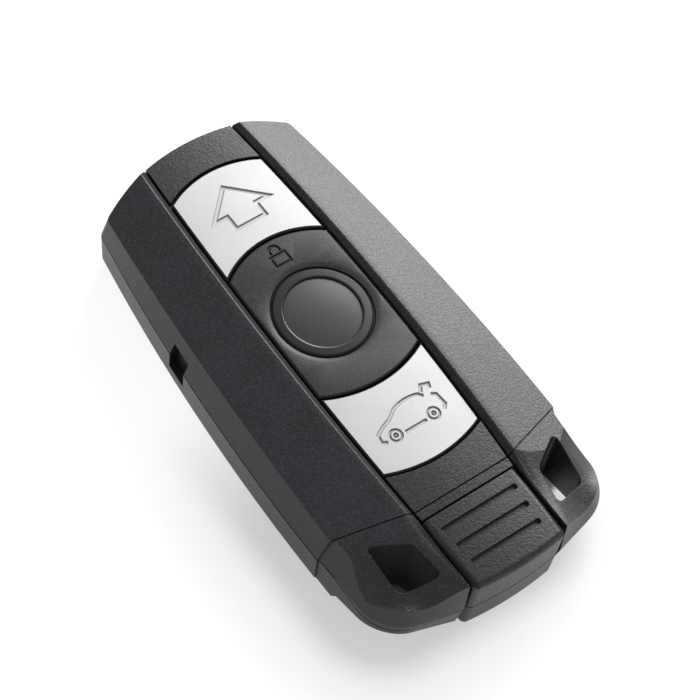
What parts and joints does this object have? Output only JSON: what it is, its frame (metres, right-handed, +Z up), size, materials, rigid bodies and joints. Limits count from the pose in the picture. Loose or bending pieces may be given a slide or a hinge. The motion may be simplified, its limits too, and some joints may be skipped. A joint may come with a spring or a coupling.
{
  "type": "slot-in car key fob",
  "caption": "Black slot-in car key fob with a raised button strip, ribbed pull-out key and an open eyelet on each side of it.",
  "frame": {"origin": "centre of the footprint, on the resting face", "axes": "+Y from the key-ring end to the unlock end, +X across the width, +Z up through the buttons"},
  "size_m": [0.0408, 0.0776, 0.0137],
  "materials": {
    "shell_black": "fine-textured satin black moulding",
    "panel_black": "smoother satin black moulding",
    "disc_black": "smooth satin black, blank",
    "button_silver": "pale satin silver paint on moulded plastic",
    "keypad_rubber": "matt dark silicone",
    "board_green": "solder-masked board",
    "chip_black": "matt black resin",
    "can_metal": "plain metal can",
    "cell_steel": "plain steel can",
    "contact_metal": "plain sprung strip",
    "ferrite_grey": "dull ferrite rod",
    "coil_copper": "enamelled copper winding",
    "frame_grey": "plain grey moulding",
    "plunger_white": "plain white resin",
    "blade_steel": "nickel-plated blade",
    "pin_steel": "plain steel pin",
    "spring_steel": "spring wire"
  },
  "bodies": {
    "case": {"front_cover": "shell_black", "rear_cover": "shell_black", "ring_end_upper": "shell_black", "ring_end_lower": "shell_black", "keypad_sheet": "keypad_rubber", "circuit_board": "board_green", "control_chip": "chip_black", "crystal": "can_metal", "coin_cell": "cell_steel", "cell_contact_top": "contact_metal", "cell_contact_bottom": "contact_metal", "antenna_core": "ferrite_grey", "antenna_coil": "coil_copper", "blade_guide": "frame_grey", "unlock_switch": "chip_black", "lock_switch": "chip_black", "trunk_switch": "chip_black", "release_spring": "spring_steel"},
    "unlock": {"unlock_button": "button_silver", "unlock_pad": "keypad_rubber", "unlock_plunger": "plunger_white"},
    "lock": {"lock_button": "panel_black", "centre_disc": "disc_black", "lock_pad": "keypad_rubber", "lock_plunger": "plunger_white"},
    "trunk": {"trunk_button": "button_silver", "trunk_pad": "keypad_rubber", "trunk_plunger": "plunger_white"},
    "key": {"key_head_upper": "shell_black", "key_head_lower": "shell_black", "key_blade": "blade_steel", "blade_pin": "pin_steel"},
    "release": {"release_slide": "shell_black"}
  },
  "joints": [
    {"name": "unlock_press", "type": "slide", "parent": "case", "child": "unlock", "axis": [0, 0, -1], "range_m": [0, 0.0003], "stiffness_N_per_m": 3000, "springref_m": -0.0002},
    {"name": "lock_press", "type": "slide", "parent": "case", "child": "lock", "axis": [0, 0, -1], "range_m": [0, 0.0003], "stiffness_N_per_m": 3000, "springref_m": -0.0002},
    {"name": "trunk_press", "type": "slide", "parent": "case", "child": "trunk", "axis": [0, 0, -1], "range_m": [0, 0.0003], "stiffness_N_per_m": 3000, "springref_m": -0.0002},
    {"name": "key_slide", "type": "slide", "parent": "case", "child": "key", "axis": [0, -1, 0], "range_m": [0, 0.05]},
    {"name": "release_slide", "type": "slide", "parent": "case", "child": "release", "axis": [1, 0, 0], "range_m": [0, 0.0012], "stiffness_N_per_m": 400, "springref_m": -0.0006, "deforming": ["release_spring"]}
  ]
}
